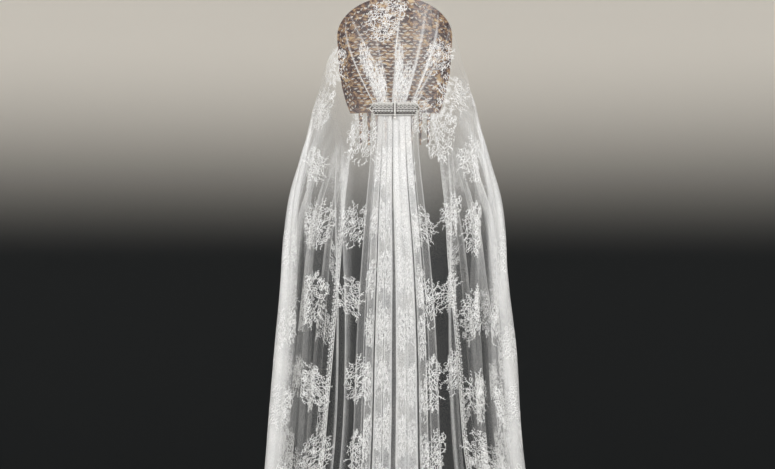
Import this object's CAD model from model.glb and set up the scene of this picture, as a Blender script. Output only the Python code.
"""A lace mantilla draped over a high pierced comb and gathered by a long brooch, seen from behind.

The sheet of net, its lace, the comb's openwork and the brooch's filigree are made here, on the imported
model as a fixed frame. Metres, +Z up, +Y the front; the origin is the comb's root.
"""

from collections import namedtuple

import bmesh
import bpy
import numpy as np
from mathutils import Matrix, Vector


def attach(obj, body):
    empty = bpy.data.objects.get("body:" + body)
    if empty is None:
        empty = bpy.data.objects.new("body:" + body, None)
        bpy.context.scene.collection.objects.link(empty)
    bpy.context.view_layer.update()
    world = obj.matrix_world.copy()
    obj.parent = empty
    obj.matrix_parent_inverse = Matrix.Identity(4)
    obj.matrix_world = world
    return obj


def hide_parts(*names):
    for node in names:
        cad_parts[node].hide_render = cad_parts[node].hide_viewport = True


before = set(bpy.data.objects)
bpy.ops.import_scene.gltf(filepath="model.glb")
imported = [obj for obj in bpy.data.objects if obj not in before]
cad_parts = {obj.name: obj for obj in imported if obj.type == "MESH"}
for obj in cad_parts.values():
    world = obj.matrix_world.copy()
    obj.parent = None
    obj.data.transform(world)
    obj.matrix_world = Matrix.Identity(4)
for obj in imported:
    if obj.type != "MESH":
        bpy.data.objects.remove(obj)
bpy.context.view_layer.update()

GAP = 0.0003

# The drape, as in the solid sheet
CREST_LIFT = 0.0018
CREST_REACH = 0.0048
ZONE_STEPS = 60
GATHER_ANGLE = 56
SIDE_ANGLE = 88
MIDDLE_VALLEY = (0.0078, 0.024)
HEM_GROWTH = 1.22
EDGE_DEPTH_SHARE = 0.3

# The comb
COMB_BEND_RADIUS = 0.200
COMB_LEAN = 0.09
COMB_THICKNESS = 0.0036
COMB_HALF_WIDTH = 0.135
COMB_ARCH_BASE = 0.183
COMB_ARCH_RISE = 0.088
TOOTH_COUNT = 9
TOOTH_PITCH = 0.0205
TOOTH_LENGTH = 0.075
TOOTH_ROOT_HALF_WIDTH = 0.0044
TOOTH_TIP_HALF_WIDTH = 0.0016
COMB_SIDES = ((0.0, 0.104), (0.030, 0.115), (0.060, 0.123), (0.100, 0.130), (0.140, 0.1335))

# The comb's openwork: arches of holes under the edge, as shares of the way out to it, and level rows of
# holes in the field inside. A hole's size is its length and its width. An arch keeps clear of its ends by
# the first of RING_ENDS, or by the second where its holes are shifted by half a pitch.
FRET_MIDDLE = (0.0, 0.012)
EDGE_RINGS = (0.952, 0.895, 0.832)
EDGE_PITCH = 0.0102
EDGE_TILT = 32
EDGE_HOLE = (0.0090, 0.0042)
FIELD_SHARE = 0.775
FIELD_LEVELS = (0.012, 0.245, 0.0078)
FIELD_PITCH = 0.0158
FIELD_HOLE = (0.0118, 0.0031)
RING_ENDS = (0.006, 0.004)
LOWEST_HOLE = 0.008
FIELD_MARGIN = 0.0068
BEND_STEPS = 14

# The brooch
BROOCH_LENGTH = 0.120
BROOCH_HEIGHT = 0.030
BROOCH_MIDDLE_Z = 0.004
BROOCH_TIP = 0.0115
BAND_WIDTH = 0.0040
BAND_HEIGHT = 0.0330
BAND_THICKNESS = 0.0095
DROP_RADIUS = 0.0042
PLEAT_FACE = -0.0853
BAR_DEPTH = 0.0055
SHOULDER = BROOCH_LENGTH / 2 - BROOCH_TIP
RIM_INNER = BAND_WIDTH / 2 + 0.0014
RIM_PITCH = 0.0023
RIM_RADIUS = 0.0013
BEAD_SINK = 0.0002
STONE_LIFT = 0.0006
PLATE_MARGIN = 0.0024
RAIL_X = 0.0013
RAIL_PITCH = 0.0019
RAIL_BEAD = 0.0009
COLLAR_RADIUS = 0.0020
COLLAR_WIRE = 0.0006

# How a half narrows to its point: each step as a share of the point's length, and how far it narrows
TIP_STEPS = ((0.48, 0.54), (0.46, 0.16))

# How finely the net is worked
ROW_STEP = 0.012
THREADS_BETWEEN = 4
NET_COVER = 0.028
VALLEY_DEPTH = 0.015
LEAST_EDGE_ON = 0.35
LACE_LIFT = 0.0004
BORDER_LIFT = 0.0005
RIPPLE_SEED = 7
RIPPLE_WAVES = 7
RIPPLE_DEPTH = 0.0011
RIPPLE_ASIDE = 0.0007

# Valleys that close up, and crowded folds
MERGED_VALLEY = 0.008
OPEN_VALLEY = 0.013
DENSE_CROWDING = 18.0
PLEATS_EACH_SIDE = 4

# Sharp creases: their places among the folds' points from the middle, at the comb's crest, at the brooch
# and at the hem, and how many more layers of net they look like in the fan and in the fall
Crease = namedtuple("Crease", "name crest brooch hem fan fall")
CREASES = (
    Crease("far_left", -20.4, -22.0, -22.0, 30.0, 0.0),
    Crease("wide_left", -19.0, -6.3, -6.3, 30.0, 0.0),
    Crease("near_left", -10.7, -4.0, -4.0, 14.0, 0.0),
    Crease("middle", 2.8, 0.0, 0.0, 46.0, 0.0),
    Crease("near_right", 12.1, 12.0, 12.0, 28.0, 0.0),
    Crease("far_right", 17.8, 18.3, 18.3, 32.0, 0.0),
    Crease("side_right", 24.0, 20.5, 20.5, 18.0, 0.0),
    Crease("tube_edge", -24.6, -24.6, -24.6, 0.0, 13.0),
    Crease("tube_back", -28.5, -28.5, -29.5, 0.0, 7.0),
    Crease("line", 26.0, 26.0, 26.5, 0.0, 9.0),
)
CREASE_HALF_WIDTH = 0.33

Section = namedtuple(
    "Section",
    "name back_y back_z gather_x gather_y gather_z side_x side_y side_z front_x front_y front_z",
)
SECTIONS = (
    Section("brow", 0.098, 0.060, 0.042, 0.0965, 0.055, 0.090, 0.090, 0.026, 0.087, 0.100, -0.006),
    Section("forelock", 0.047, 0.170, 0.068, 0.056, 0.156, 0.116, 0.074, 0.106, 0.095, 0.108, -0.034),
    Section("crest_front", None, None, None, None, None, None, None, None, 0.101, 0.115, -0.064),
    Section("crest_back", None, None, None, None, None, None, None, None, 0.103, 0.116, -0.076),
    Section("fan", -0.052, 0.160, 0.084, -0.044, 0.150, 0.163, 0.010, 0.112, 0.109, 0.118, -0.114),
    Section("brooch_top", -0.085, 0.0215, 0.054, -0.085, 0.0215, 0.191, 0.010, 0.014, 0.115, 0.122, -0.168),
    Section("brooch_low", -0.085, -0.0135, 0.052, -0.085, -0.0135, 0.199, 0.010, -0.016, 0.118, 0.125, -0.19),
    Section("nape", -0.092, -0.090, 0.056, -0.092, -0.090, 0.221, 0.010, -0.098, 0.123, 0.136, -0.248),
    Section("shoulder", -0.118, -0.220, 0.066, -0.117, -0.220, 0.252, 0.012, -0.215, 0.130, 0.150, -0.345),
    Section("waist", -0.136, -0.480, 0.086, -0.134, -0.478, 0.276, 0.012, -0.460, 0.148, 0.166, -0.555),
    Section("hip", -0.158, -0.820, 0.100, -0.155, -0.816, 0.302, 0.010, -0.785, 0.168, 0.176, -0.800),
    Section("hem", -0.180, -1.100, 0.122, -0.175, -1.094, 0.332, 0.010, -1.048, 0.192, 0.182, -0.950),
)

# The folds from the middle of the back outwards: place, half width and outer valley, each at the brooch
# and low down; how many more layers of net than in the flat sheet, in the fan above the brooch, under the
# brooch and at the waist; and how far a shallow outer valley closes up, so that two folds look like one
Fold = namedtuple(
    "Fold",
    "name brooch_place low_place brooch_half low_half brooch_valley low_valley fan brooch waist merge",
)
LEFT_FOLDS = (
    Fold("pleat_1", 0.20, 0.19, 0.0051, 0.0088, 0.0078, 0.006, 1.0, 28.0, 14.0, 0.6),
    Fold("pleat_2", 0.42, 0.42, 0.0051, 0.0088, 0.0078, 0.020, 6.0, 20.0, 14.0, 0.9),
    Fold("pleat_3", 0.65, 0.66, 0.0051, 0.0088, 0.0078, 0.006, 7.0, 20.0, 8.0, 0.5),
    Fold("pleat_4", 0.88, 0.90, 0.0051, 0.0088, 0.0070, 0.016, 1.5, 8.0, 3.5, 0.0),
    Fold("tube", 1.33, 1.13, 0.0060, 0.0115, 0.0050, 0.020, 0.4, 0.6, 0.5, 0.0),
    Fold("panel_edge", 1.64, 1.43, 0.0070, 0.0110, 0.0060, 0.024, 1.0, 2.0, 0.3, 0.0),
    Fold("arm_1", 1.84, 1.63, 0.0075, 0.0130, 0.0070, 0.026, 10.0, 10.0, 0.4, 0.0),
    Fold("arm_2", 2.03, 1.85, 0.0080, 0.0145, 0.0080, 0.028, 17.0, 17.0, 9.0, 0.0),
    Fold("arm_3", 2.22, 2.08, 0.0080, 0.0155, 0.0080, 0.028, 17.0, 18.0, 15.0, 0.0),
    Fold("lappet_1", 2.42, 2.32, 0.0080, 0.0145, 0.0080, 0.026, 15.0, 16.0, 3.0, 0.0),
    Fold("lappet_2", 2.62, 2.56, 0.0080, 0.0140, 0.0075, 0.024, 15.0, 15.0, 0.8, 0.0),
    Fold("lappet_3", 2.83, 2.81, 0.0075, 0.0135, 0.0060, 0.016, 12.0, 12.0, 0.8, 0.0),
)
RIGHT_FOLDS = (
    Fold("pleat_1", 0.04, 0.14, 0.0062, 0.0105, 0.0078, 0.005, 8.0, 60.0, 18.0, 1.0),
    Fold("pleat_2", 0.31, 0.42, 0.0062, 0.0105, 0.0078, 0.020, 7.0, 48.0, 17.0, 0.9),
    Fold("pleat_3", 0.59, 0.69, 0.0062, 0.0088, 0.0078, 0.008, 2.0, 30.0, 7.0, 0.1),
    Fold("pleat_4", 0.87, 0.96, 0.0062, 0.0095, 0.0070, 0.018, 1.5, 5.0, 4.0, 0.0),
    Fold("line", 1.32, 1.16, 0.0065, 0.0100, 0.0055, 0.022, 0.4, 1.2, 1.0, 0.0),
    Fold("panel_edge", 1.60, 1.37, 0.0075, 0.0125, 0.0060, 0.024, 1.4, 3.0, 1.2, 0.0),
    Fold("arm_1", 1.80, 1.58, 0.0075, 0.0140, 0.0070, 0.027, 9.0, 9.0, 1.8, 0.0),
    Fold("arm_2", 1.99, 1.80, 0.0080, 0.0150, 0.0080, 0.028, 16.0, 17.0, 5.5, 0.0),
    Fold("arm_3", 2.19, 2.04, 0.0080, 0.0155, 0.0080, 0.028, 17.0, 18.0, 11.0, 0.0),
    Fold("lappet_1", 2.40, 2.29, 0.0080, 0.0145, 0.0080, 0.026, 15.0, 16.0, 3.0, 0.0),
    Fold("lappet_2", 2.61, 2.54, 0.0080, 0.0140, 0.0075, 0.024, 15.0, 15.0, 0.8, 0.0),
    Fold("lappet_3", 2.82, 2.80, 0.0075, 0.0135, 0.0060, 0.016, 12.0, 12.0, 0.8, 0.0),
)
SIDES = ((-1, LEFT_FOLDS), (1, RIGHT_FOLDS))

# The six points of one fold across the sheet: share of its half width when smooth, the same when full,
# and share of the valley's depth
FOLD_POINTS = (
    (-1.00, -0.72, 1.0),
    (-0.70, -1.00, 0.5),
    (-0.35, -0.50, 0.0),
    (0.35, 0.50, 0.0),
    (0.70, 1.00, 0.5),
    (1.00, 0.72, 1.0),
)

# Sprays that show on the back: where each one's middle is, which spray, its turn in degrees, its size
Spray = namedtuple("Spray", "x z kind turn size")
BACK_SPRAYS = (
    Spray(-0.026, 0.222, 0, 10, 1.05),
    Spray(-0.150, 0.105, 3, 5, 0.85),
    Spray(0.108, 0.120, 1, -10, 0.95),
    Spray(0.140, 0.045, 2, 10, 1.00),
    Spray(-0.175, 0.010, 0, 5, 0.95),
    Spray(-0.078, -0.070, 1, 0, 1.10),
    Spray(0.103, -0.055, 3, -5, 1.10),
    Spray(-0.200, -0.120, 2, 10, 1.00),
    Spray(0.185, -0.110, 0, -10, 1.05),
    Spray(-0.185, -0.265, 0, 10, 1.10),
    Spray(-0.098, -0.265, 1, 5, 1.00),
    Spray(0.072, -0.262, 2, -10, 0.95),
    Spray(0.130, -0.235, 0, -5, 0.95),
    Spray(0.178, -0.270, 3, -5, 1.10),
    Spray(-0.183, -0.440, 3, 10, 1.15),
    Spray(-0.100, -0.430, 2, 0, 1.05),
    Spray(0.075, -0.440, 1, -5, 1.10),
    Spray(0.125, -0.420, 2, 5, 1.00),
    Spray(0.185, -0.460, 0, 5, 1.10),
    Spray(-0.187, -0.632, 2, 10, 1.15),
    Spray(-0.098, -0.620, 0, 5, 1.05),
    Spray(0.082, -0.630, 3, -5, 1.15),
    Spray(0.135, -0.605, 1, 5, 1.00),
    Spray(0.192, -0.650, 1, 0, 1.10),
    Spray(-0.182, -0.800, 1, 10, 1.10),
    Spray(-0.098, -0.790, 3, -5, 1.05),
    Spray(0.092, -0.795, 0, -5, 1.10),
    Spray(0.188, -0.780, 2, 10, 1.10),
)
SHOWN_SIZE = 1.06
SPRAY_ROW_STEP = 0.182
SPRAY_STEP = 0.088
SPRAY_CLEARANCE = 0.074
BARE_HALF_WIDTH = 0.125
PLEAT_SPRAY_STEP = 0.076
FAN_LACE_HEIGHT = 0.105
FAN_LACE_PLEATS = (1, 2, 4, 5)
BARE_PLEATS = (3, 7)
FAN_SQUEEZE = 0.34
FALL_SQUEEZE = 0.56
BOLDNESS = {1.0: 1.0, FAN_SQUEEZE: 0.62, FALL_SQUEEZE: 0.95}
BORDER_BOLDNESS = 1.3
SCALLOP_PITCH = 0.016
EVEN_SPRAY_SEED = 5
PLEAT_SPRAY_SEED = 19
PLEAT_SPRAY_SHIFT = 0.045
FIRST_SPRAY_ROW = -0.26
BARE_DEPTH = 0.10
BROW_CLEARANCE = 0.01
HEM_CLEARANCE = 0.02

# The stretch down the back that the brooch hides: its middle below the brooch's top, and half its height
BROOCH_HIDES = (0.018, 0.028)


# The drape's shape


def blend(t, span, start, end, start_slope, end_slope):
    """The cubic curve between two values with these slopes, at a share t of the span."""
    return (
        (2 * t**3 - 3 * t**2 + 1) * start
        + (t**3 - 2 * t**2 + t) * span * start_slope
        + (3 * t**2 - 2 * t**3) * end
        + (t**3 - t**2) * span * end_slope
    )


def reach_along(line):
    """The distance along a line to each of its points."""
    return np.concatenate([[0], np.cumsum(np.linalg.norm(np.diff(line, axis=0), axis=1))])


def along_line(reach, along, line):
    """Points of a line at distances along it."""
    return np.stack([np.interp(reach, along, column) for column in np.transpose(line)], axis=-1)


def on_grid(place, count):
    """The grid step below each place, and the share of the way on to the next."""
    place = np.clip(place, 0, count - 1.001)
    low = place.astype(int)
    return low, (place - low)[:, None]


def smooth_between(places, values, place):
    """A curve through values at the given places: its slope at each is that of its two neighbours."""
    places = np.asarray(places, float)
    values = np.asarray(values, float)
    slopes = np.empty_like(values)
    ahead = np.append(np.arange(1, len(places)), len(places) - 1)
    behind = np.append(0, np.arange(len(places) - 1))
    for k in range(len(places)):
        slopes[k] = (values[ahead[k]] - values[behind[k]]) / (places[ahead[k]] - places[behind[k]])
    left = int(np.clip(np.searchsorted(places, place, side="right") - 1, 0, len(places) - 2))
    span = places[left + 1] - places[left]
    t = (place - places[left]) / span
    return blend(t, span, values[left], values[left + 1], slopes[left], slopes[left + 1])


def comb_surface(across, height, outward=0.0):
    """A point of the comb's bent plate: across is measured round the bend, outward is behind it."""
    turn = across / COMB_BEND_RADIUS
    radius = COMB_BEND_RADIUS + outward
    y = COMB_BEND_RADIUS - radius * np.cos(turn) - COMB_LEAN * height
    return np.stack(np.broadcast_arrays(radius * np.sin(turn), y, height), axis=-1)


def round_the_bend(seen_width):
    return COMB_BEND_RADIUS * np.arcsin(seen_width / COMB_BEND_RADIUS)


def crest_line(angle, lift, reach):
    across = round_the_bend((COMB_HALF_WIDTH + lift) * np.sin(angle))
    return comb_surface(across, COMB_ARCH_BASE + (COMB_ARCH_RISE + lift) * np.cos(angle), reach)


def quarter_turn(start, end, leaving_across):
    angle = np.linspace(0, np.pi / 2, ZONE_STEPS + 1)[:, None]
    along, aside = np.sin(angle), 1 - np.cos(angle)
    if not leaving_across:
        along, aside = aside, along
    return start + np.concatenate([along, aside, (along + aside) / 2], axis=1) * (end - start)


def crest_half(section, reach):
    gather, side = np.radians(GATHER_ANGLE), np.radians(SIDE_ANGLE)
    inner = crest_line(np.linspace(0, gather, ZONE_STEPS + 1), CREST_LIFT, reach)
    outer = crest_line(np.linspace(gather, side, ZONE_STEPS + 1), CREST_LIFT, reach)
    front = np.array(section[9:])
    return np.concatenate([inner, outer[1:], quarter_turn(outer[-1], front, False)[1:]])


def plain_half(section):
    back = np.array([0.0, section.back_y, section.back_z])
    gather, side, front = np.array(section[3:]).reshape(3, 3)
    inner = back + np.linspace(0, 1, ZONE_STEPS + 1)[:, None] * (gather - back)
    outer = quarter_turn(gather, side, True)
    return np.concatenate([inner, outer[1:], quarter_turn(side, front, False)[1:]])


def section_halves():
    reaches = {"crest_front": -CREST_REACH, "crest_back": CREST_REACH}
    return np.array(
        [crest_half(s, reaches[s.name]) if s.name in reaches else plain_half(s) for s in SECTIONS]
    )


def whole_section(half):
    line = np.concatenate([half[::-1] * (-1, 1, 1), half[1:]])
    return line, reach_along(line)


def at_places(places, line, along):
    return np.interp((np.asarray(places) + 3) * ZONE_STEPS, np.arange(len(line)), along)


class Levels:
    """Heights at which the fold table gives its values, as distances down the middle of the back."""

    def __init__(self, halves):
        down = reach_along(halves[:, 0])
        self.down = {section.name: down[i] for i, section in enumerate(SECTIONS)}
        self.all = down
        self.keys = [self.down[n] for n in ("crest_back", "brooch_top", "brooch_low", "waist", "hem")]

    def value(self, down, brooch, low, hem):
        return float(smooth_between(self.keys, [brooch, brooch, brooch, low, hem], down))

    def fullness(self, down, start, end):
        start, end = self.down[start], self.down[end]
        return float(np.clip((down - start) / (end - start), 0, 1))


def fold_columns(levels, down, line, along):
    """Where each thread of the sheet crosses a section: how far along it, and how far in from it."""
    gathered = levels.fullness(down, "crest_front", "brooch_top")
    folded = levels.fullness(down, "crest_back", "nape") ** 2
    columns = []
    for side, folds in SIDES:
        inner = levels.value(down, *MIDDLE_VALLEY, MIDDLE_VALLEY[1] * HEM_GROWTH)
        found = []
        for fold in folds:
            place = levels.value(down, fold.brooch_place, fold.low_place, fold.low_place)
            half = levels.value(down, fold.brooch_half, fold.low_half, fold.low_half * HEM_GROWTH)
            outer = levels.value(down, fold.brooch_valley, fold.low_valley, fold.low_valley * HEM_GROWTH)
            shallow = np.clip((OPEN_VALLEY - outer) / (OPEN_VALLEY - MERGED_VALLEY), 0, 1)
            outer *= 1 - fold.merge * shallow
            middle = at_places(side * place, line, along)
            fullness = gathered if fold.brooch_place < 1 else folded
            for smooth_share, full_share, depth_share in FOLD_POINTS:
                share = smooth_share + (full_share - smooth_share) * fullness
                valley = inner if share < 0 else outer
                found.append((middle + side * share * half, depth_share * valley, fullness))
            inner = outer
        edge = at_places(side * 3, line, along)
        found.append((edge, EDGE_DEPTH_SHARE * inner, folded))
        start = at_places(0, line, along)
        for i, (reach, depth, fullness) in enumerate(found):
            even = start + (edge - start) * (i + 0.5) / (len(found) - 0.5)
            found[i] = (even + (reach - even) * fullness, depth * fullness)
        columns += found[::-1] if side < 0 else found
    return np.array(columns).T


def level_normals(line, along, reach):
    slope = np.gradient(line, along, axis=0)
    x, y, _ = along_line(reach, along, slope).T
    length = np.hypot(x, y)
    return np.stack([y / length, -x / length, np.zeros_like(x)], axis=-1)


def smooth_line(points):
    """A smooth curve through the points, with more of them, by the distances between them."""
    steps = np.maximum(np.linalg.norm(np.diff(points[:, :3], axis=0), axis=1), 1e-5)
    slopes = np.empty_like(points)
    slopes[1:-1] = (points[2:] - points[:-2]) / (steps[1:] + steps[:-1])[:, None]
    slopes[0] = (points[1] - points[0]) / steps[0]
    slopes[-1] = (points[-1] - points[-2]) / steps[-1]
    t = (np.arange(THREADS_BETWEEN) / THREADS_BETWEEN)[None, :, None]
    ends = (points[:-1, None], points[1:, None], slopes[:-1, None], slopes[1:, None])
    curve = blend(t, steps[:, None, None], *ends)
    return np.concatenate([curve.reshape(-1, points.shape[1]), points[-1:]])


def unit(vectors):
    return vectors / np.maximum(np.linalg.norm(vectors, axis=-1, keepdims=True), 1e-9)


class Cloth:
    """The draped sheet as a fine grid: rows run across it, threads run down it."""

    def __init__(self):
        halves = section_halves()
        self.levels = Levels(halves)
        downs = [self.levels.all[0]]
        for start, end in zip(self.levels.all[:-1], self.levels.all[1:]):
            count = max(2, int(np.ceil((end - start) / ROW_STEP)))
            downs += list(start + (end - start) * np.arange(1, count + 1) / count)
        self.downs = np.array(downs)
        made = [self.row(halves, down) for down in self.downs]
        self.points = np.array([points[:, :3] for points, _ in made])
        self.depths = np.array([points[:, 3] for points, _ in made])
        forms = np.array([form for _, form in made])
        self.form_normals = unit(np.cross(np.gradient(forms[..., :3], axis=0), forms[..., 3:]))
        self.ripple(forms)
        self.crimp = self.crimps()
        down_way, across_way = np.gradient(self.points, axis=(0, 1))
        self.normals = unit(np.cross(down_way, across_way))
        steps = np.linalg.norm(np.diff(self.points, axis=1), axis=2)
        middle = self.points.shape[1] // 2
        self.across = np.concatenate([np.zeros((len(steps), 1)), np.cumsum(steps, axis=1)], axis=1)
        self.across -= self.across[:, middle : middle + 1]
        steps = np.linalg.norm(np.diff(self.points, axis=0), axis=2)
        self.along = np.concatenate([np.zeros((1, steps.shape[1])), np.cumsum(steps, axis=0)])
        crest = int(np.argmin(np.abs(self.downs - self.levels.down["crest_back"])))
        self.along -= self.along[crest : crest + 1]

    def crimps(self):
        """How many layers of flat net the sheet's threads make: gathers crowd them on the outer faces."""
        levels = self.levels
        fine = np.arange(self.points.shape[1]) / THREADS_BETWEEN
        at = {}
        for key in ("fan", "brooch", "waist"):
            values = []
            for side, folds in SIDES:
                spread = [getattr(fold, key) for fold in folds for _ in FOLD_POINTS]
                spread.append(spread[-1])
                values += spread[::-1] if side < 0 else spread
            at[key] = np.interp(fine, np.arange(len(values)), values)
        keys = [levels.down[name] for name in ("crest_back", "fan", "brooch_top", "brooch_low", "waist")]
        heights = np.array([0 * at["fan"], 0.45 * at["fan"], at["fan"], at["brooch"], at["waist"]])
        crowd = np.array([[np.interp(down, keys, column) for column in heights.T] for down in self.downs])
        outer = 1 - np.clip(self.depths / VALLEY_DEPTH, 0, 1)
        crowd = crowd * (outer + 0.5 * (1 - outer) * np.clip(crowd / DENSE_CROWDING, 0, 1))
        brooch = levels.down["brooch_top"]
        fan_share = np.array([levels.fullness(d, "crest_back", "brooch_top") for d in self.downs]) ** 0.7
        fan_share *= np.clip((brooch + 0.01 - self.downs) / 0.01, 0, 1)
        fall_share = np.clip((self.downs - levels.down["nape"] + 0.03) / 0.08, 0, 1)
        middle = len(LEFT_FOLDS) * len(FOLD_POINTS) + 0.5
        keys = [levels.down[name] for name in ("crest_back", "brooch_top", "hem")]
        for crease in CREASES:
            column = middle + np.interp(self.downs, keys, (crease.crest, crease.brooch, crease.hem))
            line = np.exp(-(((fine - column[:, None]) / CREASE_HALF_WIDTH) ** 2))
            crowd += (crease.fan * fan_share + crease.fall * fall_share)[:, None] * line
        return 1 + crowd

    def row(self, halves, down):
        """One row of the sheet: its points, and the plain form that it folds on with its way across."""
        levels = self.levels
        line, along = whole_section(smooth_between(levels.all, halves, down))
        crest = levels.down["crest_back"]
        if down < crest:
            crest_points, crest_along = whole_section(smooth_between(levels.all, halves, crest))
            reach, depth = fold_columns(levels, crest, crest_points, crest_along)
            index = np.interp(reach, crest_along, np.arange(len(line)))
            reach = np.interp(index, np.arange(len(line)), along)
        else:
            reach, depth = fold_columns(levels, down, line, along)
        points = along_line(reach, along, line) - depth[:, None] * level_normals(line, along, reach)
        fine = smooth_line(np.concatenate([points, depth[:, None], reach[:, None]], axis=1))
        slope = unit(np.gradient(line, along, axis=0))
        channels = np.concatenate([line, slope], axis=1)
        return fine[:, :4], along_line(fine[:, 4], along, channels)

    def ripple(self, forms):
        """Long, low, uneven waves in and out and sideways, which move all layers of a fold together."""
        dice = np.random.default_rng(RIPPLE_SEED)
        crest, brooch = self.levels.down["crest_back"], self.levels.down["brooch_low"]
        free = np.clip((self.downs - crest - 0.03) / 0.09, 0, 1) ** 2
        free *= 0.25 + 0.75 * np.clip((self.downs - brooch) / 0.25, 0, 1)
        free *= 1 - np.exp(-(((self.downs - brooch + 0.016) / 0.035) ** 2))
        x, y, down = forms[..., 0], forms[..., 1], self.downs[:, None]
        deep, aside = np.zeros_like(x), np.zeros_like(x)
        for _ in range(RIPPLE_WAVES):
            round_way, down_way = dice.uniform(14, 48), dice.uniform(5, 17)
            phase = dice.uniform(0, 2 * np.pi, 2)
            deep += np.sin(round_way * x + 0.6 * round_way * y + down_way * down + phase[0])
            aside += np.sin(0.5 * round_way * x + 1.1 * down_way * down + phase[1])
        across_way = unit(forms[..., 3:])
        share = free[:, None, None]
        self.points += share * RIPPLE_DEPTH * deep[..., None] * self.form_normals
        self.points += share * RIPPLE_ASIDE * aside[..., None] * across_way

    def nearest(self, x, z):
        """The row and thread of the outermost layer that shows from behind at this place."""
        miss = np.hypot(self.points[..., 0] - x, self.points[..., 2] - z)
        near = miss < max(0.008, miss.min() + 0.002)
        depth = np.where(near, self.points[..., 1], np.inf)
        return np.unravel_index(int(np.argmin(depth)), depth.shape)

    def along_edge(self, row, across, down):
        """Points near a whole edge row, each placed from the thread that it lies by."""
        middle = self.points.shape[1] // 2
        reach = self.across[row, middle] + across
        threads = np.arange(self.points.shape[1])
        left, part = on_grid(np.interp(reach, self.across[row], threads), len(threads))
        rows = np.arange(len(self.downs))
        found = np.empty((len(across), 3))
        for k in np.unique(left):
            here = left == k
            ends = []
            for t in (k, k + 1):
                along = self.along[row, t] + down[here]
                low, share = on_grid(np.interp(along, self.along[:, t], rows), len(rows))
                point = self.points[low, t] * (1 - share) + self.points[low + 1, t] * share
                ends.append(point + BORDER_LIFT * self.normals[low, t])
            found[here] = ends[0] * (1 - part[here]) + ends[1] * part[here]
        return found

    def place(self, row, thread, across, down, lift):
        """Points of the cloth at distances across and down from a thread's row, and whether on it."""
        rows = np.arange(len(self.downs))
        threads = np.arange(self.points.shape[1])
        target = self.along[row, thread] + down
        at_row = np.interp(target, self.along[:, thread], rows)
        inside = (target >= self.along[0, thread]) & (target <= self.along[-1, thread])
        low = np.clip(at_row.astype(int), 0, len(rows) - 2)
        share = (at_row - low)[:, None]
        found = np.empty((len(across), 3))
        for k in np.unique(low):
            here = low == k
            halves = []
            for r in (k, k + 1):
                reach = self.across[r, thread] + across[here]
                inside[here] &= (reach >= self.across[r, 0]) & (reach <= self.across[r, -1])
                left, part = on_grid(np.interp(reach, self.across[r], threads), len(threads))
                point = self.points[r, left] * (1 - part) + self.points[r, left + 1] * part
                normal = self.normals[r, left] * (1 - part) + self.normals[r, left + 1] * part
                halves.append(point + lift * normal)
            found[here] = halves[0] * (1 - share[here]) + halves[1] * share[here]
        return found, inside


# Meshes and pieces


def add_object(name, data):
    made = bpy.data.objects.new(name, data)
    bpy.context.scene.collection.objects.link(made)
    return made


def mesh_piece(name, points, quads, material):
    """A piece from arrays of points and four-cornered faces, shaded smooth."""
    mesh = bpy.data.meshes.new(name)
    mesh.vertices.add(len(points))
    mesh.vertices.foreach_set("co", np.ascontiguousarray(points, np.float32).ravel())
    mesh.loops.add(4 * len(quads))
    mesh.loops.foreach_set("vertex_index", np.ascontiguousarray(quads, np.int32).ravel())
    mesh.polygons.add(len(quads))
    mesh.polygons.foreach_set("loop_start", np.arange(0, 4 * len(quads), 4, dtype=np.int32))
    mesh.update(calc_edges=True)
    mesh.validate()
    mesh.shade_smooth()
    mesh.materials.append(material)
    return add_object(name, mesh)


def set_attribute(piece, name, values):
    attribute = piece.data.attributes.new(name, "FLOAT", "POINT")
    attribute.data.foreach_set("value", np.ascontiguousarray(values, np.float32).ravel())


def set_uv(piece, across, along):
    corners = np.empty(len(piece.data.loops), np.int32)
    piece.data.loops.foreach_get("vertex_index", corners)
    uv = np.stack([across.ravel()[corners], along.ravel()[corners]], axis=-1)
    layer = piece.data.uv_layers.new(name="cloth")
    layer.data.foreach_set("uv", np.ascontiguousarray(uv, np.float32).ravel())


def make_net(cloth, material):
    rows, threads = cloth.points.shape[:2]
    first = (np.arange(rows - 1)[:, None] * threads + np.arange(threads - 1)).ravel()
    quads = np.stack([first, first + threads, first + threads + 1, first + 1], axis=-1)
    net = mesh_piece("net", cloth.points.reshape(-1, 3), quads, material)
    edge_on = np.abs(np.sum(cloth.normals * cloth.form_normals, axis=-1))
    cover = 1 - (1 - NET_COVER) ** (cloth.crimp / np.maximum(edge_on, LEAST_EDGE_ON))
    set_attribute(net, "cover", cover)
    set_uv(net, cloth.across, cloth.along)
    return net


# The lace: every line is a flat ribbon of thread, given by its middle and half widths in millimetres

LEAF_ROW_STEP = 7.6
LEAF_STEP = 6.4
SPRIGS_ROUND = 20


def arc(start, end, bulge, count):
    """A line between two points that bows to its left by the bulge, as a share of its length."""
    t = np.linspace(0, 1, count + 1)[:, None]
    way = end - start
    side = np.array([-way[1], way[0]])
    return start + t * way + 4 * bulge * t * (1 - t) * side


def heading(degrees):
    return np.array([np.cos(np.radians(degrees)), np.sin(np.radians(degrees))])


def leaf(base, angle, length, fatness, line, vein):
    """The outline of a pointed leaf, open inside, with a vein."""
    tip = base + length * heading(angle)
    widths = line * np.array([0.6, 0.95, 1.1, 0.95, 0.5])
    strokes = [(arc(base, tip, side * fatness, 4), widths) for side in (-1, 1)]
    if vein:
        end = base + 0.75 * length * heading(angle)
        strokes.append((arc(base, end, 0.04, 2), line * np.array([0.7, 0.6, 0.3])))
    return strokes


def bud(base, angle, length, width):
    """A small filled bud or leaf."""
    tip = base + length * heading(angle)
    return [(arc(base, tip, 0.08, 3), width * np.array([0.45, 0.75, 1.0, 0.25]))]


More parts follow.
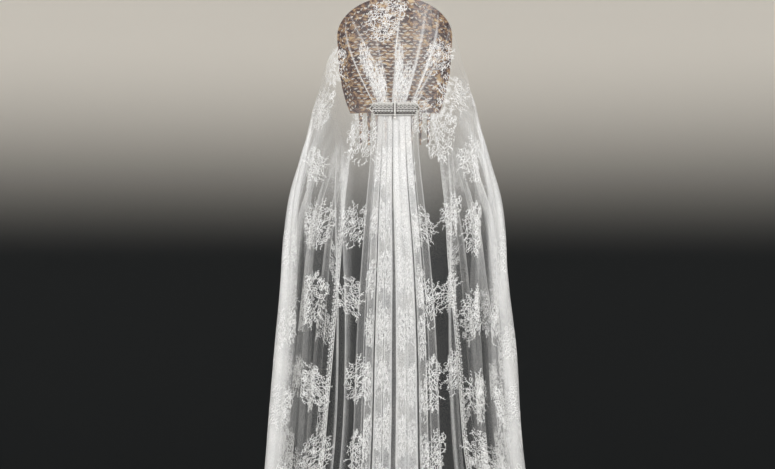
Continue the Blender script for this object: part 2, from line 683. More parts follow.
def blossom(middle, petals, size, turn, line):
    """A flower of open petals round a small filled middle."""
    strokes = []
    for k in range(petals):
        angle = turn + 360 * k / petals
        round_way = np.linspace(0, 2 * np.pi, 8)
        petal = middle + (0.62 + 0.5 * np.cos(round_way))[:, None] * size * heading(angle)
        petal = petal + (0.34 * np.sin(round_way))[:, None] * size * heading(angle + 90)
        strokes.append((petal, np.full(len(petal), line)))
    strokes.append((arc(middle - (0.9, 0), middle + (0.9, 0), 0.0, 2), np.array([0.5, 1.1, 0.5])))
    return strokes


def sprig(base, angle, length, bend, dice):
    """A bare forked twig with small buds on alternate sides, that stands out of a spray."""
    tip = base + length * heading(angle)
    count = max(3, int(round(length / 3.6)))
    stem = arc(base, tip, bend, count)
    strokes = [(stem, np.linspace(0.48, 0.34, count + 1))]
    side = 1 if dice.random() < 0.5 else -1
    for k in range(1, count):
        side = -side
        way = np.degrees(np.arctan2(*(stem[k] - stem[k - 1])[::-1]))
        turn = way + side * dice.uniform(38, 66)
        strokes += bud(stem[k], turn, dice.uniform(2.6, 5.4), dice.uniform(0.45, 0.7))
        if dice.random() < 0.3:
            strokes += bud(stem[k], way - side * dice.uniform(38, 66), dice.uniform(2.2, 3.6), 0.5)
    for turn in (-30, 30):
        if dice.random() < 0.75:
            strokes += bud(stem[-1], angle + turn, dice.uniform(2.0, 3.6), 0.55)
    return strokes


def spray_design(seed, half_width, half_height, slant):
    """One spray: slanting open leaves that touch like a lattice, with forked sprigs all round."""
    dice = np.random.default_rng(seed)
    strokes = []
    edge = dice.uniform(0.70, 1.15, 9)
    lean = 0.30 * np.cos(np.radians(slant))
    blossoms = dice.uniform(-0.6, 0.6, (3, 2)) * (half_width, half_height)
    for place in blossoms:
        strokes += blossom(place, 5, dice.uniform(4.4, 5.6), dice.uniform(0, 72), 0.45)
    for n, level in enumerate(np.arange(-half_height, half_height, LEAF_ROW_STEP)):
        for column in np.arange(-half_width, half_width, LEAF_STEP) + 0.5 * LEAF_STEP * (n % 2):
            middle = np.array([column + lean * level, level]) + dice.uniform(-1.8, 1.8, 2)
            round_way = np.arctan2(level / half_height, column / half_width) / (2 * np.pi) % 1
            limit = np.interp(round_way * 9, np.arange(10), np.append(edge, edge[0]))
            out = np.hypot(column / half_width, level / half_height) / limit
            if out > 1 or dice.random() < 0.06 + 0.14 * out:
                continue
            if min(np.hypot(*(middle - place)) for place in blossoms) < 4.6:
                continue
            angle = slant + dice.normal(0, 27)
            length = dice.uniform(8.5, 12.0)
            base = middle - 0.5 * length * heading(angle)
            if dice.random() < 0.38:
                strokes += sprig(base, angle, length, dice.uniform(-0.2, 0.2), dice)
            else:
                line = dice.uniform(0.40, 0.56)
                strokes += leaf(base, angle, length, dice.uniform(0.22, 0.32), line, dice.random() < 0.15)
    for k in range(SPRIGS_ROUND):
        angle = 360 * (k + dice.uniform(-0.45, 0.45)) / SPRIGS_ROUND
        start = 0.80 * np.array([half_width, half_height]) * heading(angle)
        start = start + (lean * start[1], 0)
        along = slant if np.sin(np.radians(angle)) > 0 else slant + 180
        way = angle + 0.5 * ((along - angle + 180) % 360 - 180) + dice.uniform(-30, 30)
        strokes += sprig(start, way, dice.uniform(6, 19), dice.uniform(-0.3, 0.3), dice)
    return strokes


def ribbons(strokes, boldness):
    """The ribbons' corner points in the flat cloth, in metres, and their faces."""
    points, quads, start = [], [], 0
    for middle, half_widths in strokes:
        way = np.gradient(middle, axis=0)
        side = np.stack([-way[:, 1], way[:, 0]], axis=-1)
        side = boldness * half_widths[:, None] * unit(side)
        pairs = np.stack([middle + side, middle - side], axis=1).reshape(-1, 2)
        points.append(pairs)
        first = start + 2 * np.arange(len(middle) - 1)
        quads.append(np.stack([first, first + 1, first + 3, first + 2], axis=-1))
        start += len(pairs)
    return np.concatenate(points) / 1000, np.concatenate(quads)


# Each spray's seed, its half width and half height in millimetres, and its slant in degrees
SPRAY_DESIGNS = (
    (11, 38, 48, 125),
    (23, 35, 47, 112),
    (37, 40, 44, 138),
    (53, 34, 50, 98),
)


def turned(points, degrees, size):
    c, s = np.cos(np.radians(degrees)) * size, np.sin(np.radians(degrees)) * size
    return points @ np.array([[c, s], [-s, c]])


def pleat_threads():
    """The thread along the outer face of each pleat, left and right."""
    middle = THREADS_BETWEEN * (len(LEFT_FOLDS) * len(FOLD_POINTS) + 0.5)
    steps = [THREADS_BETWEEN * (len(FOLD_POINTS) * (k + 0.5)) for k in range(PLEATS_EACH_SIDE)]
    return [int(middle + side * step) for side in (-1, 1) for step in steps]


def gathered_sprays(cloth):
    """The sprays on the pleats, squeezed sideways and close together because the gathers crowd them."""
    dice = np.random.default_rng(PLEAT_SPRAY_SEED)
    brooch = cloth.levels.down["brooch_top"]
    first = int(np.argmin(np.abs(cloth.downs - (brooch - FAN_LACE_HEIGHT))))
    places = []
    for k, thread in enumerate(pleat_threads()):
        if k in BARE_PLEATS:
            continue
        along = cloth.along[:, thread]
        down = along[first] + PLEAT_SPRAY_SHIFT * (k % 2)
        while down < along[-1] - HEM_CLEARANCE:
            row = int(np.argmin(np.abs(along - down)))
            above = cloth.downs[row] < brooch
            hidden = abs(cloth.downs[row] - brooch - BROOCH_HIDES[0]) < BROOCH_HIDES[1]
            if not hidden and (not above or k in FAN_LACE_PLEATS):
                size = dice.uniform(0.90, 1.05) if above else dice.uniform(0.85, 1.02)
                squeeze = FAN_SQUEEZE if above else FALL_SQUEEZE
                kind = int(dice.integers(4))
                places.append((row, thread, kind, dice.uniform(-14, 14), size, squeeze))
            down += PLEAT_SPRAY_STEP * dice.uniform(0.88, 1.12) * (0.6 if above else 1.6)
    return places


def even_sprays(cloth, taken):
    """Rows of sprays over the rest of the sheet, which leave room for those already placed."""
    dice = np.random.default_rng(EVEN_SPRAY_SEED)
    pleats = pleat_threads()
    crest, fan = cloth.levels.down["crest_back"], cloth.levels.down["fan"]
    middle = cloth.points.shape[1] // 2
    taken = [(cloth.across[r, t], cloth.points[r, t]) for r, t, *_ in taken]
    places = []
    for n, down in enumerate(np.arange(FIRST_SPRAY_ROW, cloth.along[-1].max(), SPRAY_ROW_STEP)):
        row = int(round(np.interp(down, cloth.along[:, middle], np.arange(len(cloth.downs)))))
        width = cloth.across[row, -1] - cloth.across[row, 0]
        count = max(1, int(round(width / SPRAY_STEP)))
        for k in range(count + n % 2):
            reach = cloth.across[row, 0] + width * (k + 0.5 * ((n + 1) % 2)) / count
            thread = int(np.argmin(np.abs(cloth.across[row] - reach - dice.uniform(-0.010, 0.010))))
            target = down + dice.uniform(-0.015, 0.015)
            own = int(np.argmin(np.abs(cloth.along[:, thread] - target)))
            brow, hem = cloth.along[0, thread], cloth.along[-1, thread]
            if not brow + BROW_CLEARANCE < target < hem - HEM_CLEARANCE:
                continue
            if min(pleats) < thread < max(pleats) and cloth.downs[own] > fan:
                continue
            point, across = cloth.points[own, thread], cloth.across[own, thread]
            if crest < cloth.downs[own] < fan + BARE_DEPTH and abs(point[0]) < BARE_HALF_WIDTH:
                continue
            near = (np.linalg.norm(point - p) < SPRAY_CLEARANCE and abs(across - a) < 0.1 for a, p in taken)
            if any(near):
                continue
            kind, turn = int(dice.integers(4)), dice.uniform(-15, 15)
            places.append((own, thread, kind, turn, dice.uniform(0.92, 1.12), 1.0))
    return places


def spray_places(cloth):
    """Where each spray goes: its row, its thread, which spray it is, its turn, size and squeeze."""
    shown = [
        (*cloth.nearest(spray.x, spray.z), spray.kind, spray.turn, SHOWN_SIZE * spray.size, 1.0)
        for spray in BACK_SPRAYS
    ]
    return shown + even_sprays(cloth, shown) + gathered_sprays(cloth)


def edge_design(length):
    """A scalloped border from an edge at 0 inwards, in millimetres: a cord, arches, and leaves in each."""
    strokes = []
    count = max(1, int(round(length / SCALLOP_PITCH)))
    pitch = 1000 * length / count
    for k in range(count):
        start, end = np.array([k * pitch, 2.0]), np.array([(k + 1) * pitch, 2.0])
        strokes.append((np.linspace(start - (0, 1.2), end - (0, 1.2), 5), np.full(5, 1.1)))
        strokes.append((arc(start, end, 0.42, 8), np.full(9, 0.75)))
        strokes.append((arc(start, end, 0.72, 8), np.full(9, 0.5)))
        middle = 0.5 * (start + end)
        strokes += bud(middle + (0, 1.5), 90, 5.5, 1.1)
        for side in (-1, 1):
            strokes += bud(middle + (0, 1.5), 90 + side * 48, 4.6, 0.9)
            strokes += bud(start + (0, 7.5), 90 + side * 26, 5.5, 0.8)
        strokes += bud(start + (0, 7.5), 90, 7.5, 0.8)
    return strokes


def border_parts(cloth):
    """The border worked along the hem, the brow edge and both front edges."""
    rows, threads = cloth.points.shape[:2]
    parts = []
    for row, inward in ((rows - 1, -1), (0, 1)):
        start, end = cloth.across[row, 0], cloth.across[row, -1]
        points, quads = ribbons(edge_design(end - start), BORDER_BOLDNESS)
        middle = threads // 2
        across = points[:, 0] + start - cloth.across[row, middle]
        parts.append((cloth.along_edge(row, across, inward * points[:, 1]), quads))
    for thread, inward in ((0, 1), (threads - 1, -1)):
        length = cloth.along[-1, thread] - cloth.along[0, thread]
        points, quads = ribbons(edge_design(length), BORDER_BOLDNESS)
        placed, _ = cloth.place(0, thread, inward * points[:, 1], points[:, 0], BORDER_LIFT)
        parts.append((placed, quads))
    return parts


def joined(parts):
    """Several sets of points and faces as one."""
    start, points, quads = 0, [], []
    for placed, faces in parts:
        points.append(placed)
        quads.append(faces + start)
        start += len(placed)
    return np.concatenate(points), np.concatenate(quads)


def make_lace(cloth, material):
    """The sprays on the whole sheet and its border, in a few pieces by side."""
    drawn = [spray_design(*design) for design in SPRAY_DESIGNS]
    designs = {}
    for squeeze, boldness in BOLDNESS.items():
        squeezed = [[(line * (squeeze, 1), widths) for line, widths in strokes] for strokes in drawn]
        designs[squeeze] = [ribbons(strokes, boldness) for strokes in squeezed]
    sides = ("front_left", "left", "middle_left", "middle_right", "right", "front_right")
    limits = np.array([0.18, 0.36, 0.5, 0.64, 0.82]) * cloth.points.shape[1]
    found = {side: [] for side in sides}
    for k, (row, thread, kind, turn, size, squeeze) in enumerate(spray_places(cloth)):
        points, quads = designs[squeeze][kind]
        points = turned(points, squeeze * turn, size) * (-1 if k % 4 == 3 else 1, 1)
        placed, inside = cloth.place(row, thread, points[:, 0], points[:, 1], LACE_LIFT)
        side = sides[int(np.searchsorted(limits, thread))]
        found[side].append((placed, quads[inside[quads].all(axis=1)]))
    found["border"] = border_parts(cloth)
    return [mesh_piece("lace_" + side, *joined(parts), material) for side, parts in found.items() if parts]


# The comb


def comb_half_width(height):
    if height > COMB_ARCH_BASE:
        rise = min(1.0, (height - COMB_ARCH_BASE) / COMB_ARCH_RISE)
        seen = COMB_HALF_WIDTH * np.sqrt(1 - rise**2)
    else:
        heights, widths = zip(*COMB_SIDES, (COMB_ARCH_BASE, COMB_HALF_WIDTH), strict=True)
        seen = np.interp(height, heights, widths)
    return float(round_the_bend(seen))


def comb_half_edge(steps):
    angles = np.linspace(0, np.pi / 2, steps + 1)
    arch_x = round_the_bend(COMB_HALF_WIDTH * np.sin(angles))
    arch = np.stack([arch_x, COMB_ARCH_BASE + COMB_ARCH_RISE * np.cos(angles)], axis=-1)
    side = [(comb_half_width(height), height) for height, _ in reversed(COMB_SIDES)]
    return np.concatenate([arch, side])


def comb_edge():
    right = comb_half_edge(40)
    left = right[1:] * (-1, 1)
    teeth = []
    for i in range(TOOTH_COUNT):
        middle = (i - (TOOTH_COUNT - 1) / 2) * TOOTH_PITCH
        for side, half, height in (
            (-1, TOOTH_ROOT_HALF_WIDTH, 0.0),
            (-1, TOOTH_TIP_HALF_WIDTH, -TOOTH_LENGTH),
            (1, TOOTH_TIP_HALF_WIDTH, -TOOTH_LENGTH),
            (1, TOOTH_ROOT_HALF_WIDTH, 0.0),
        ):
            teeth.append((middle + side * half, height))
    return [*right[::-1].tolist(), *left.tolist(), *teeth]


def scroll_hole(middle, way, size, mirrored):
    """The outline of one comma-shaped hole of the openwork."""
    length, width = size
    side = np.array([-way[1], way[0]]) * (-1 if mirrored else 1)
    outline = []
    for half, shares in ((0.5, np.linspace(0, 1, 7)), (-0.5, np.linspace(1, 0, 7))):
        for t in shares:
            wave = np.sin(np.pi * t)
            out = 0.32 * wave + half * (0.25 + wave**0.7 * (1 - 0.5 * t))
            outline.append(middle + (t - 0.5) * length * way + out * width * side)
    return [tuple(p) for p in (outline if not mirrored else outline[::-1])]


def edge_holes(edge):
    """Holes in arches under the comb's edge, tilted this way and that."""
    outlines = []
    for n, share in enumerate(EDGE_RINGS):
        reach = share * reach_along(edge)
        count = int((reach[-1] - RING_ENDS[0]) / EDGE_PITCH)
        for k in range(-count, count + 1):
            at = (k + 0.5 * (n % 2)) * EDGE_PITCH
            if abs(at) > reach[-1] - RING_ENDS[1]:
                continue
            mirror = (-1 if at < 0 else 1, 1)
            spoke, ahead = (along_line(abs(at) + step, reach, edge) * mirror for step in (0, 0.001))
            way = turned(unit(ahead - spoke), EDGE_TILT * (-1) ** k, 1.0)
            middle = FRET_MIDDLE + share * spoke
            if middle[1] > LOWEST_HOLE:
                outlines.append(scroll_hole(middle, way, EDGE_HOLE, k % 2 == 0))
    return outlines


def field_holes(edge):
    """Longer, thinner holes in level rows over the rest of the comb."""
    outlines = []
    inner = (FRET_MIDDLE + FIELD_SHARE * edge)[::-1]
    for row, level in enumerate(np.arange(*FIELD_LEVELS)):
        limit = float(np.interp(level, inner[:, 1], inner[:, 0], right=0.0))
        count = int(limit / FIELD_PITCH) + 1
        for k in range(-count, count + 1):
            across = (k + 0.5 * (row % 2)) * FIELD_PITCH
            if abs(across) + FIELD_MARGIN < limit:
                way = unit(np.array([1.0, 0.16 * (-1) ** (k + row)]))
                middle = np.array([across, level])
                outlines.append(scroll_hole(middle, way, FIELD_HOLE, (k + row) % 2 == 0))
    return outlines


def make_comb(material):
    """The comb: a flat plate pierced all over, then bent to its curve and leant back."""
    edge = comb_half_edge(90) - FRET_MIDDLE
    curve = bpy.data.curves.new("openwork_comb", "CURVE")
    curve.dimensions = "2D"
    curve.fill_mode = "BOTH"
    curve.extrude = COMB_THICKNESS / 2
    for outline in [comb_edge(), *edge_holes(edge), *field_holes(edge)]:
        spline = curve.splines.new("POLY")
        spline.points.add(len(outline) - 1)
        for point, (x, y) in zip(spline.points, outline, strict=True):
            point.co = (x, y, 0, 1)
        spline.use_cyclic_u = True
    flat = add_object("openwork_comb", curve)
    bpy.context.view_layer.update()
    drawn = flat.evaluated_get(bpy.context.evaluated_depsgraph_get())
    mesh = bpy.data.meshes.new_from_object(drawn)
    bpy.data.objects.remove(flat, do_unlink=True)
    shape = bmesh.new()
    shape.from_mesh(mesh)
    bmesh.ops.remove_doubles(shape, verts=shape.verts, dist=1e-6)
    widest = comb_half_width(COMB_ARCH_BASE)
    for i in range(1, BEND_STEPS):
        bmesh.ops.bisect_plane(
            shape, geom=[*shape.verts, *shape.edges, *shape.faces], dist=1e-5,
            plane_co=(widest * (2 * i / BEND_STEPS - 1), 0, 0), plane_no=(1, 0, 0),
        )
    for vertex in shape.verts:
        vertex.co = comb_surface(vertex.co.x, vertex.co.y, vertex.co.z)
    bmesh.ops.triangulate(shape, faces=shape.faces)
    bmesh.ops.recalc_face_normals(shape, faces=shape.faces)
    shape.to_mesh(mesh)
    shape.free()
    mesh.materials.clear()
    mesh.materials.append(material)
    return add_object("openwork_comb", mesh)


# The brooch


def deselect():
    if bpy.context.object and bpy.context.object.mode != "OBJECT":
        bpy.ops.object.mode_set(mode="OBJECT")
    bpy.ops.object.select_all(action="DESELECT")


def pointed_bar(name, side):
    """A bar that narrows to a blunt point, extruded from a block."""
    deselect()
    inner = BAND_WIDTH / 2 + GAP
    back = PLEAT_FACE - BAR_DEPTH / 2
    middle = (side * (inner + SHOULDER) / 2, back, BROOCH_MIDDLE_Z)
    bpy.ops.mesh.primitive_cube_add(size=1, location=middle)
    bar = bpy.context.object
    bar.name = name
    bar.scale = (SHOULDER - inner, BAR_DEPTH, BROOCH_HEIGHT - PLATE_MARGIN)
    bpy.ops.object.transform_apply(location=True, rotation=True, scale=True)
    for share, narrowing in TIP_STEPS:
        reach = share * BROOCH_TIP
        bpy.ops.object.mode_set(mode="OBJECT")
        outermost = max(side * v.co.x for v in bar.data.vertices)
        for face in bar.data.polygons:
            face.select = side * face.normal.x > 0.9 and side * face.center.x > outermost - 1e-5
        bpy.ops.object.mode_set(mode="EDIT")
        bpy.ops.mesh.extrude_region_move(TRANSFORM_OT_translate={"value": (side * reach, 0, 0)})
        bpy.ops.transform.resize(
            value=(1, 0.9, narrowing), center_override=(side * (SHOULDER + reach), back, BROOCH_MIDDLE_Z)
        )
    bpy.ops.object.mode_set(mode="OBJECT")
    edge = bar.modifiers.new("edge", "BEVEL")
    edge.width = 0.0009
    edge.segments = 3
    bpy.ops.object.modifier_apply(modifier="edge")
    return bar


def bead_model():
    deselect()
    bpy.ops.mesh.primitive_uv_sphere_add(segments=8, ring_count=6, radius=1)
    return bpy.context.object


def bead(model, radius, place):
    """A copy of the model bead, with its own mesh."""
    copy = model.copy()
    copy.data = model.data.copy()
    copy.scale = (radius, radius, radius)
    copy.location = place
    bpy.context.scene.collection.objects.link(copy)
    return copy


def ring(radius, thickness, place):
    deselect()
    bpy.ops.mesh.primitive_torus_add(
        major_segments=14, minor_segments=6, major_radius=radius, minor_radius=thickness,
        location=place, rotation=(np.pi / 2, 0, 0),
    )
    return bpy.context.object


def cut_stone(radius, place):
    """A round stone with a flat table and eight sloping facets."""
    deselect()
    bpy.ops.mesh.primitive_cone_add(
        vertices=8, radius1=radius, radius2=0.55 * radius, depth=0.7 * radius,
        location=place, rotation=(np.pi / 2, 0, 0),
    )
    return bpy.context.object


def join_as(name, objects, material, smooth):
    deselect()
    for obj in objects:
        obj.select_set(True)
    bpy.context.view_layer.objects.active = objects[0]
    bpy.ops.object.join()
    bpy.ops.object.transform_apply(location=True, rotation=True, scale=True)
    piece = bpy.context.object
    piece.name = name
    piece.data.materials.clear()
    piece.data.materials.append(material)
    if smooth:
        bpy.ops.object.shade_smooth_by_angle(angle=np.radians(50))
    else:
        bpy.ops.object.shade_flat()
    return piece


# What is on each half of the brooch, in millimetres: height above its middle, pitch, first place out from
# the band, radius, the radius of its wire where it is a ring, and the radius of its stone
Motif = namedtuple("Motif", "name height pitch first radius wire stone")
MOTIFS = (
    Motif("rolled", 10.6, 3.1, 2.0, 2.0, 0.0, 0.0),
    Motif("arches", 5.6, 9.3, 5.4, 2.5, 0.85, 0.0),
    Motif("bosses", 5.9, 9.3, 0.8, 1.3, 0.0, 0.0),
    Motif("rope", 0.9, 2.2, 1.2, 1.35, 0.0, 0.0),
    Motif("scrolls", -4.6, 7.4, 3.2, 2.1, 0.75, 1.0),
    Motif("dots", -4.0, 7.4, 6.9, 0.9, 0.0, 0.0),
    Motif("low_dots", -9.6, 7.4, 6.9, 1.3, 0.0, 0.0),
)


def rim_places():
    """Places round the edge of one half, from the band to the point and back."""
    top = BROOCH_HEIGHT / 2 - RIM_RADIUS
    tip = BROOCH_LENGTH / 2 - RIM_RADIUS
    corners = ((RIM_INNER, top), (SHOULDER, top), (tip, 0), (SHOULDER, -top), (RIM_INNER, -top))
    reach = reach_along(corners)
    steps = np.linspace(0, reach[-1], int(round(reach[-1] / RIM_PITCH)) + 1)
    return along_line(steps, reach, corners)


def brooch_half(which, side, model, finishes):
    """One half: a dark pointed plate with a beaded rim, and rows of beads, rings and stones on it."""
    silver, dark, stone = finishes
    face = PLEAT_FACE - BAR_DEPTH
    plate = join_as("plate_" + which, [pointed_bar("plate_" + which, side)], dark, True)
    metal, stones = [], []
    for x, z in rim_places():
        metal.append(bead(model, RIM_RADIUS, (side * x, face + BEAD_SINK, BROOCH_MIDDLE_Z + z)))
    for motif in MOTIFS:
        z = BROOCH_MIDDLE_Z + motif.height / 1000
        for out in np.arange(motif.first, 1000 * (SHOULDER - RIM_INNER) + 3.0, motif.pitch):
            x = side * (RIM_INNER + out / 1000)
            if motif.wire:
                metal.append(ring(motif.radius / 1000, motif.wire / 1000, (x, face, z)))
            else:
                metal.append(bead(model, motif.radius / 1000, (x, face + BEAD_SINK, z)))
            if motif.stone:
                stones.append(cut_stone(motif.stone / 1000, (x, face - STONE_LIFT, z)))
    filigree = join_as("filigree_" + which, metal, silver, True)
    return plate, filigree, join_as("stones_" + which, stones, stone, False)


def make_brooch(silver, dark, stone):
    model = bead_model()
    finishes = (silver, dark, stone)
    left = brooch_half("left", -1, model, finishes)
    right = brooch_half("right", 1, model, finishes)
    rails = []
    for x in (-RAIL_X, RAIL_X):
        for z in np.arange(-BAND_HEIGHT / 2 + 0.001, BAND_HEIGHT / 2, RAIL_PITCH):
            rails.append(bead(model, RAIL_BEAD, (x, PLEAT_FACE - BAND_THICKNESS, BROOCH_MIDDLE_Z + z)))
    band = join_as("band_beads", rails, silver, True)
    bpy.data.objects.remove(model, do_unlink=True)
    drop_z = BROOCH_MIDDLE_Z - BAND_HEIGHT / 2 - GAP - DROP_RADIUS
    place = (0, PLEAT_FACE - DROP_RADIUS - GAP, drop_z)
    deselect()
    bpy.ops.mesh.primitive_uv_sphere_add(segments=24, ring_count=16, radius=DROP_RADIUS, location=place)
    ball = bpy.context.object
    collar = ring(COLLAR_RADIUS, COLLAR_WIRE, (0, place[1], drop_z + DROP_RADIUS - COLLAR_WIRE))
    drop = join_as("ball_drop", [ball, collar], silver, True)
    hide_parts("brooch_left")
    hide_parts("brooch_right")
    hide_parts("brooch_drop")
    for piece in (*left, *right, band, drop):
        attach(piece, "root")


# Materials


def feed(tree, node, inputs):
    """Inputs of a node: another node's output is linked, and a plain value is set on the socket."""
    for name, value in inputs.items():
        if isinstance(value, bpy.types.NodeSocket):
            tree.links.new(value, node.inputs[name])
        else:
            node.inputs[name].default_value = value


def add_node(tree, kind, inputs, **settings):
    node = tree.nodes.new("ShaderNode" + kind)
    for name, value in settings.items():
        setattr(node, name, value)
    feed(tree, node, inputs)
    return node


def new_material(name):
    material = bpy.data.materials.new(name)
    material.use_nodes = True
    return material, material.node_tree, material.node_tree.nodes["Principled BSDF"]


def object_place(tree):
    return add_node(tree, "TexCoord", {}).outputs["Object"]


def ramp_of(tree, factor, stops):
    ramp = add_node(tree, "ValToRGB", {"Fac": factor})
    elements = ramp.color_ramp.elements
    while len(elements) < len(stops):
        elements.new(0.5)
    for element, (place, colour) in zip(elements, stops, strict=True):
        element.position = place
        element.color = (*colour, 1.0)
    return ramp


def tint(tree, factor, stops):
    return ramp_of(tree, factor, stops).outputs["Color"]


def grain_group():
    """Fine uneven grain, as a mask for colour and bump, and the roughness that goes with it."""
    group = bpy.data.node_groups.new("fine_grain", "ShaderNodeTree")
    for name in ("Place", "Scale", "Smoothest", "Roughest"):
        kind = "NodeSocketVector" if name == "Place" else "NodeSocketFloat"
        group.interface.new_socket(name=name, in_out="INPUT", socket_type=kind)
    for name in ("Grain", "Roughness"):
        group.interface.new_socket(name=name, in_out="OUTPUT", socket_type="NodeSocketFloat")
    given, result = group.nodes.new("NodeGroupInput").outputs, group.nodes.new("NodeGroupOutput")
    noise = add_node(group, "TexNoise", {"Vector": given["Place"], "Scale": given["Scale"], "Detail": 4})
    grain = noise.outputs["Fac"]
    limits = {"To Min": given["Smoothest"], "To Max": given["Roughest"]}
    rough = add_node(group, "MapRange", {"Value": grain, **limits})
    feed(group, result, {"Grain": grain, "Roughness": rough.outputs["Result"]})
    return group


def add_grain(tree, shader, scale, smoothest, roughest, bump_depth):
    """The grain on a finish: its roughness and bump are linked here, and its mask is given back."""
    group = bpy.data.node_groups.get("fine_grain") or grain_group()
    values = {"Scale": scale, "Smoothest": smoothest, "Roughest": roughest}
    grain = add_node(tree, "Group", {"Place": object_place(tree), **values}, node_tree=group).outputs
    bump = add_node(tree, "Bump", {"Strength": 0.45, "Distance": bump_depth, "Height": grain["Grain"]})
    feed(tree, shader, {"Roughness": grain["Roughness"], "Normal": bump.outputs["Normal"]})
    return grain["Grain"]


def net_material():
    """Fine cotton net: nearly clear, thicker where it is seen on edge in a fold."""
    material, tree, shader = new_material("fine_net")
    cover = add_node(tree, "Attribute", {}, attribute_name="cover").outputs["Fac"]
    cloth = add_node(tree, "UVMap", {}, uv_map="cloth").outputs["UV"]
    mesh = add_node(tree, "TexVoronoi", {"Scale": 620, "Vector": cloth}, feature="DISTANCE_TO_EDGE")
    limits = {"From Min": 0.05, "From Max": 0.22, "To Min": 1.75, "To Max": 0.62}
    thread = add_node(tree, "MapRange", {"Value": mesh.outputs["Distance"], **limits})
    cloud = add_node(tree, "TexNoise", {"Scale": 16, "Detail": 3, "Vector": cloth}).outputs["Fac"]
    uneven = add_node(tree, "MapRange", {"Value": cloud, "To Min": 0.82, "To Max": 1.18})
    factors = {0: thread.outputs["Result"], 1: uneven.outputs["Result"]}
    both = add_node(tree, "Math", factors, operation="MULTIPLY")
    factors = {0: cover, 1: both.outputs["Value"]}
    alpha = add_node(tree, "Math", factors, operation="MULTIPLY", use_clamp=True)
    colour = tint(tree, cloud, ((0.3, (0.78, 0.79, 0.80)), (0.7, (0.87, 0.87, 0.86))))
    feed(tree, shader, {"Alpha": alpha.outputs["Value"], "Base Color": colour})
    feed(tree, shader, {"Roughness": 0.65, "Sheen Weight": 0.15})
    return material


def lace_material():
    """The lace's thicker white thread, with its slubs and twist."""
    material, tree, shader = new_material("lace_thread")
    slubs = add_grain(tree, shader, 420, 0.5, 0.7, 0.0004)
    colour = tint(tree, slubs, ((0.25, (0.84, 0.85, 0.86)), (0.7, (0.98, 0.98, 0.97))))
    limits = {"From Min": 0.3, "From Max": 0.6, "To Min": 0.70, "To Max": 0.98}
    alpha = add_node(tree, "MapRange", {"Value": slubs, **limits})
    feed(tree, shader, {"Base Color": colour, "Alpha": alpha.outputs["Result"]})
    return material


def tortoiseshell_material():
    """Polished horn: honey clouded with dark purple-brown."""
    material, tree, shader = new_material("clouded_tortoiseshell")
    stretch = add_node(tree, "Mapping", {"Vector": object_place(tree), "Scale": (1.0, 1.0, 1.9)})
    values = {"Scale": 62, "Detail": 5, "Distortion": 0.8}
    cloud = add_node(tree, "TexNoise", {"Vector": stretch.outputs["Vector"], **values})
    stops = (
        (0.40, (0.040, 0.017, 0.018)),
        (0.49, (0.120, 0.058, 0.042)),
        (0.56, (0.30, 0.180, 0.095)),
        (0.67, (0.58, 0.42, 0.24)),
    )
    add_grain(tree, shader, 260, 0.16, 0.40, 0.0002)
    feed(tree, shader, {"Base Color": tint(tree, cloud.outputs["Fac"], stops)})
    feed(tree, shader, {"Coat Weight": 0.5, "Coat Roughness": 0.08})
    return material


def silver_material(name, hollow, raised):
    """Silver, bright on the raised parts and dark with age in the hollows."""
    material, tree, shader = new_material(name)
    grain = add_grain(tree, shader, 700, 0.34, 0.58, 0.0003)
    colour = tint(tree, grain, ((0.36, hollow), (0.58, raised)))
    feed(tree, shader, {"Base Color": colour, "Metallic": 0.62})
    return material


def stone_material():
    """Clear cut stones, a little uneven in tone from facet to facet."""
    material, tree, shader = new_material("clear_stones")
    facets = add_node(tree, "TexVoronoi", {"Scale": 900, "Vector": object_place(tree)})
    stops = ((0.1, (0.62, 0.66, 0.72)), (0.6, (0.98, 0.98, 1.0)))
    feed(tree, shader, {"Base Color": tint(tree, facets.outputs["Distance"], stops)})
    feed(tree, shader, {"Roughness": 0.06, "IOR": 1.9, "Coat Weight": 0.6})
    return material


# The studio. The backdrop's fade is measured up from its own middle. The camera shows SHOWN_WIDTH at
# SHOWN_DISTANCE.

LIGHTS = (
    ("key", (-2.2, -3.4, 1.6), (0, 0, -0.3), 2.0, 90),
    ("fill", (2.8, -3.0, 0.6), (0, 0, -0.4), 2.2, 66),
    ("top", (0.3, 0.4, 2.6), (0, 0, 0), 1.8, 60),
    ("front", (0.6, 3.6, 0.8), (0, 0, -0.3), 2.2, 50),
    ("camera_side", (-0.4, -4.4, 0.4), (0, 0, -0.3), 2.4, 22),
)
CAMERA_PLACE = (-0.017, -4.6, -0.286)
SENSOR_WIDTH = 36
SHOWN_WIDTH = 1.7825
SHOWN_DISTANCE = 4.5
FLOOR_Z = -1.68
FLOOR_RADIUS = 7.0
BACKDROP_RADIUS = 6.9
BACKDROP_HEIGHT = 9.0
BACKDROP_MIDDLE_Z = 2.82
BACKDROP_FADE = (-3.26, -1.95)
BACKDROP_GLOW = 0.11


def stage_material(name, low, high, low_z, high_z, glow=0.0):
    """A finish that goes from one colour to another with height."""
    material, tree, shader = new_material(name)
    height = add_node(tree, "SeparateXYZ", {"Vector": object_place(tree)}).outputs["Z"]
    share = add_node(tree, "MapRange", {"Value": height, "From Min": low_z, "From Max": high_z})
    ramp = ramp_of(tree, share.outputs["Result"], ((0.0, low), (1.0, high)))
    ramp.color_ramp.interpolation = "EASE"
    colour = ramp.outputs["Color"]
    feed(tree, shader, {"Base Color": colour, "Emission Color": colour})
    feed(tree, shader, {"Emission Strength": glow, "Roughness": 0.9})
    return material


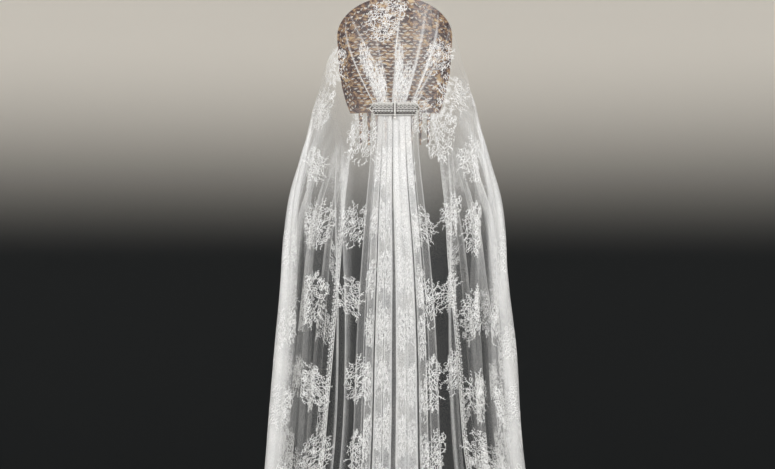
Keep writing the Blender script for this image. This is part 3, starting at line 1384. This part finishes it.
def make_stage():
    deselect()
    bpy.ops.mesh.primitive_circle_add(
        vertices=96, radius=FLOOR_RADIUS, fill_type="NGON", location=(0, 0, FLOOR_Z)
    )
    floor = bpy.context.active_object
    floor.name = "floor"
    pale = stage_material("pale_floor", (0.58, 0.57, 0.55), (0.62, 0.61, 0.59), 0, 1)
    floor.data.materials.append(pale)
    bpy.ops.mesh.primitive_cylinder_add(
        vertices=96, radius=BACKDROP_RADIUS, depth=BACKDROP_HEIGHT, end_fill_type="NOTHING",
        location=(0, 0, BACKDROP_MIDDLE_Z),
    )
    wall = bpy.context.active_object
    wall.name = "backdrop"
    for face in wall.data.polygons:
        face.use_smooth = True
    dark, light = (0.010, 0.012, 0.013), (0.88, 0.84, 0.77)
    grey = stage_material("grey_backdrop", dark, light, *BACKDROP_FADE, BACKDROP_GLOW)
    wall.data.materials.append(grey)


def add_light(name, place, aim, size, power):
    light = bpy.data.lights.new(name, "AREA")
    light.shape = "SQUARE"
    light.size = size
    light.energy = power
    lamp = add_object(name, light)
    lamp.location = place
    lamp.rotation_euler = (Vector(aim) - Vector(place)).to_track_quat("-Z", "Y").to_euler()


def make_studio():
    make_stage()
    for light in LIGHTS:
        add_light(*light)
    scene = bpy.context.scene
    scene.world = bpy.data.worlds.new("studio")
    scene.world.use_nodes = True
    background = scene.world.node_tree.nodes["Background"]
    background.inputs["Color"].default_value = (0.9, 0.93, 1.0, 1)
    background.inputs["Strength"].default_value = 0.35
    camera = bpy.data.cameras.new("camera")
    camera.lens = SENSOR_WIDTH * SHOWN_DISTANCE / SHOWN_WIDTH
    camera.sensor_width = SENSOR_WIDTH
    holder = add_object("camera", camera)
    holder.location = CAMERA_PLACE
    holder.rotation_euler = (np.pi / 2, 0, 0)
    bpy.context.scene.camera = holder
    scene.cycles.transparent_max_bounces = 32
    scene.view_settings.view_transform = "Standard"


def main():
    cloth = Cloth()
    net = make_net(cloth, net_material())
    lace = make_lace(cloth, lace_material())
    comb = make_comb(tortoiseshell_material())
    silver = silver_material("aged_silver", (0.46, 0.45, 0.43), (0.96, 0.95, 0.93))
    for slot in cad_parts["brooch_band"].material_slots:
        slot.material = silver
    dark = silver_material("dark_silver", (0.035, 0.033, 0.030), (0.13, 0.124, 0.115))
    make_brooch(silver, dark, stone_material())
    for piece in (net, *lace):
        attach(piece, "root")
    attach(comb, "root")
    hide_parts("veil")
    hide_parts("comb")
    make_studio()


main()
